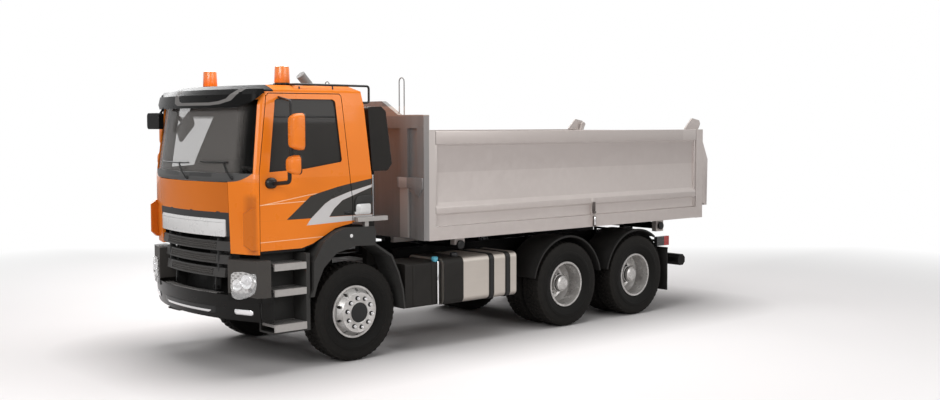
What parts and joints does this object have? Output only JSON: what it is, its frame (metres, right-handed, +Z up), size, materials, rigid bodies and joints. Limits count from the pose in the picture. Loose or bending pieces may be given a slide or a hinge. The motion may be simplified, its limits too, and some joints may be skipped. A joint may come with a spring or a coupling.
{
  "type": "three-axle tipper dump truck",
  "caption": "Three-axle dump truck with a day cab, twin rear wheels and a steel body that tips on a telescopic cylinder; cab, doors, gates, steering and wheels move.",
  "frame": {"origin": "on the ground under the middle of the truck's length and width", "axes": "+X forward, +Y to the truck's left, +Z up"},
  "size_m": [7.8978, 3.13, 3.3722],
  "materials": {
    "cab_orange": "glossy orange paint with grey and silver side stripes",
    "roof_orange": "glossy orange paint",
    "cab_trim_dark": "grained dark plastic",
    "visor_black": "gloss black moulding",
    "interior": "grained interior plastic and cloth",
    "glazing": "tinted safety glass",
    "lamp_glass": "clear and red lamp lenses",
    "beacon_amber": "amber beacon dome on a black base",
    "rail_black": "black powder-coated tube",
    "bumper_dark": "dark grey painted bumper and lamp housings",
    "step_aluminium": "perforated aluminium treads",
    "guard_plastic": "dark grey moulded guards",
    "frame_black": "black chassis paint",
    "axle_black": "black painted castings",
    "engine_grey": "grey engine and gearbox paint",
    "tank_aluminium": "brushed aluminium tank",
    "box_black": "black plastic and steel boxes",
    "tyre_rubber": "black rubber with a coarse road tread",
    "rim_silver": "silver painted steel disc",
    "body_silver": "warm silver-grey body paint",
    "headboard_steel": "dull warm grey headboard",
    "cylinder_steel": "ground cylinder stages"
  },
  "bodies": {
    "chassis": {"frame_rails": "frame_black", "cross_members": "frame_black", "tipper_subframe": "frame_black", "front_axle": "axle_black", "rear_axles": "axle_black", "driveline": "engine_grey", "front_bumper": "bumper_dark", "lamps": "lamp_glass", "entry_steps": "step_aluminium", "front_mudguards": "guard_plastic", "rear_mudguards": "guard_plastic", "fuel_tank": "tank_aluminium", "side_boxes": "box_black", "intake_and_exhaust": "box_black", "rear_underrun": "frame_black"},
    "cab": {"cab_roof": "roof_orange", "cab_rear_wall": "cab_orange", "cab_sides": "cab_orange", "windscreen": "glazing", "windscreen_cowl": "cab_trim_dark", "corner_panels": "cab_orange", "cab_floor": "cab_trim_dark", "cab_interior": "interior", "sun_visor": "visor_black", "roof_beacons": "beacon_amber", "roof_rails": "rail_black", "lower_grille": "cab_trim_dark"},
    "door_left": {"door_left": "cab_orange", "door_glass_left": "glazing", "mirror_left": "cab_orange"},
    "door_right": {"door_right": "cab_orange", "door_glass_right": "glazing", "mirror_right": "cab_orange"},
    "front_flap": {"front_flap": "cab_orange"},
    "knuckle_left": {"knuckle_left": "axle_black"},
    "knuckle_right": {"knuckle_right": "axle_black"},
    "tie_rod": {"tie_rod": "axle_black"},
    "bed": {"bed_floor": "body_silver", "headboard": "headboard_steel", "rear_posts": "body_silver"},
    "gate_left": {"gate_left": "body_silver"},
    "gate_right": {"gate_right": "body_silver"},
    "tailgate": {"tailgate": "body_silver"},
    "cyl_barrel": {"cyl_barrel": "frame_black"},
    "wheel_front_left": {"tyre_front_left": "tyre_rubber", "rim_front_left": "rim_silver"},
    "wheel_middle_left": {"tyres_middle_left": "tyre_rubber", "rims_middle_left": "rim_silver"},
    "wheel_rear_left": {"tyres_rear_left": "tyre_rubber", "rims_rear_left": "rim_silver"},
    "wheel_front_right": {"tyre_front_right": "tyre_rubber", "rim_front_right": "rim_silver"},
    "wheel_middle_right": {"tyres_middle_right": "tyre_rubber", "rims_middle_right": "rim_silver"},
    "wheel_rear_right": {"tyres_rear_right": "tyre_rubber", "rims_rear_right": "rim_silver"},
    "cyl_stage_1": {"cyl_stage_1": "cylinder_steel"},
    "cyl_stage_2": {"cyl_stage_2": "cylinder_steel"},
    "cyl_stage_3": {"cyl_stage_3": "cylinder_steel"},
    "cyl_stage_4": {"cyl_stage_4": "cylinder_steel"}
  },
  "joints": [
    {"name": "cab_tilt", "type": "hinge", "parent": "chassis", "child": "cab", "pos_m": [3.78, 0, 0.905], "axis": [0, 1, 0], "range_deg": [0, 55]},
    {"name": "door_left_hinge", "type": "hinge", "parent": "cab", "child": "door_left", "pos_m": [3.645, 1.154, 1.75], "axis": [0, 0, -1], "range_deg": [0, 75]},
    {"name": "door_right_hinge", "type": "hinge", "parent": "cab", "child": "door_right", "pos_m": [3.645, -1.154, 1.75], "axis": [0, 0, 1], "range_deg": [0, 75]},
    {"name": "flap_hinge", "type": "hinge", "parent": "cab", "child": "front_flap", "pos_m": [3.938, 0, 2.06], "axis": [0, -1, 0], "range_deg": [0, 75]},
    {"name": "steer_left", "type": "hinge", "parent": "chassis", "child": "knuckle_left", "pos_m": [2.43, 0.9, 0.562], "axis": [0, 0, 1], "range_deg": [-38, 38]},
    {"name": "steer_right", "type": "hinge", "parent": "chassis", "child": "knuckle_right", "pos_m": [2.43, -0.9, 0.562], "axis": [0, 0, 1], "range_deg": [-38, 38]},
    {"name": "tie_rod_slide", "type": "slide", "parent": "chassis", "child": "tie_rod", "axis": [0, 1, 0], "range_m": [-0.168, 0.168]},
    {"name": "wheel_front_left_spin", "type": "hinge", "parent": "knuckle_left", "child": "wheel_front_left", "pos_m": [2.43, 1.025, 0.562], "axis": [0, 1, 0], "continuous": true},
    {"name": "wheel_middle_left_spin", "type": "hinge", "parent": "chassis", "child": "wheel_middle_left", "pos_m": [-0.97, 0.913, 0.562], "axis": [0, 1, 0], "continuous": true},
    {"name": "wheel_rear_left_spin", "type": "hinge", "parent": "chassis", "child": "wheel_rear_left", "pos_m": [-2.37, 0.913, 0.562], "axis": [0, 1, 0], "continuous": true},
    {"name": "wheel_front_right_spin", "type": "hinge", "parent": "knuckle_right", "child": "wheel_front_right", "pos_m": [2.43, -1.025, 0.562], "axis": [0, 1, 0], "continuous": true},
    {"name": "wheel_middle_right_spin", "type": "hinge", "parent": "chassis", "child": "wheel_middle_right", "pos_m": [-0.97, -0.913, 0.562], "axis": [0, 1, 0], "continuous": true},
    {"name": "wheel_rear_right_spin", "type": "hinge", "parent": "chassis", "child": "wheel_rear_right", "pos_m": [-2.37, -0.913, 0.562], "axis": [0, 1, 0], "continuous": true},
    {"name": "bed_tip", "type": "hinge", "parent": "chassis", "child": "bed", "pos_m": [-3.07, 0, 1.205], "axis": [0, -1, 0], "range_deg": [0, 50]},
    {"name": "gate_left_hinge", "type": "hinge", "parent": "bed", "child": "gate_left", "pos_m": [-1.17, 1.245, 2.57], "axis": [1, 0, 0], "range_deg": [0, 70]},
    {"name": "gate_right_hinge", "type": "hinge", "parent": "bed", "child": "gate_right", "pos_m": [-1.17, -1.245, 2.57], "axis": [-1, 0, 0], "range_deg": [0, 70]},
    {"name": "tailgate_hinge", "type": "hinge", "parent": "bed", "child": "tailgate", "pos_m": [-3.8, 0, 2.69], "axis": [0, 1, 0], "range_deg": [0, 75]},
    {"name": "barrel_swing", "type": "hinge", "parent": "chassis", "child": "cyl_barrel", "pos_m": [-0.58517, 0, 0.93], "axis": [0, -1, 0], "range_deg": [0, 25.01]},
    {"name": "stage_1_slide", "type": "slide", "parent": "cyl_barrel", "child": "cyl_stage_1", "axis": [0.0511, 0, 0.9987], "range_m": [0, 0.5214]},
    {"name": "stage_2_slide", "type": "slide", "parent": "cyl_stage_1", "child": "cyl_stage_2", "axis": [0.0511, 0, 0.9987], "range_m": [0, 0.5214]},
    {"name": "stage_3_slide", "type": "slide", "parent": "cyl_stage_2", "child": "cyl_stage_3", "axis": [0.0511, 0, 0.9987], "range_m": [0, 0.5214]},
    {"name": "stage_4_slide", "type": "slide", "parent": "cyl_stage_3", "child": "cyl_stage_4", "axis": [0.0511, 0, 0.9987], "range_m": [0, 0.5214]}
  ],
  "couplings": [
    {"joint": "steer_right", "follows": "steer_left", "ratio": 1},
    {"joint": "tie_rod_slide", "follows": "steer_left", "m_per_rad": -0.25},
    {"joint": "barrel_swing", "follows": "bed_tip", "ratio": 0.5},
    {"joint": "stage_1_slide", "follows": "bed_tip", "m_per_rad": 0.59637},
    {"joint": "stage_2_slide", "follows": "bed_tip", "m_per_rad": 0.59637},
    {"joint": "stage_3_slide", "follows": "bed_tip", "m_per_rad": 0.59637},
    {"joint": "stage_4_slide", "follows": "bed_tip", "m_per_rad": 0.59637}
  ]
}
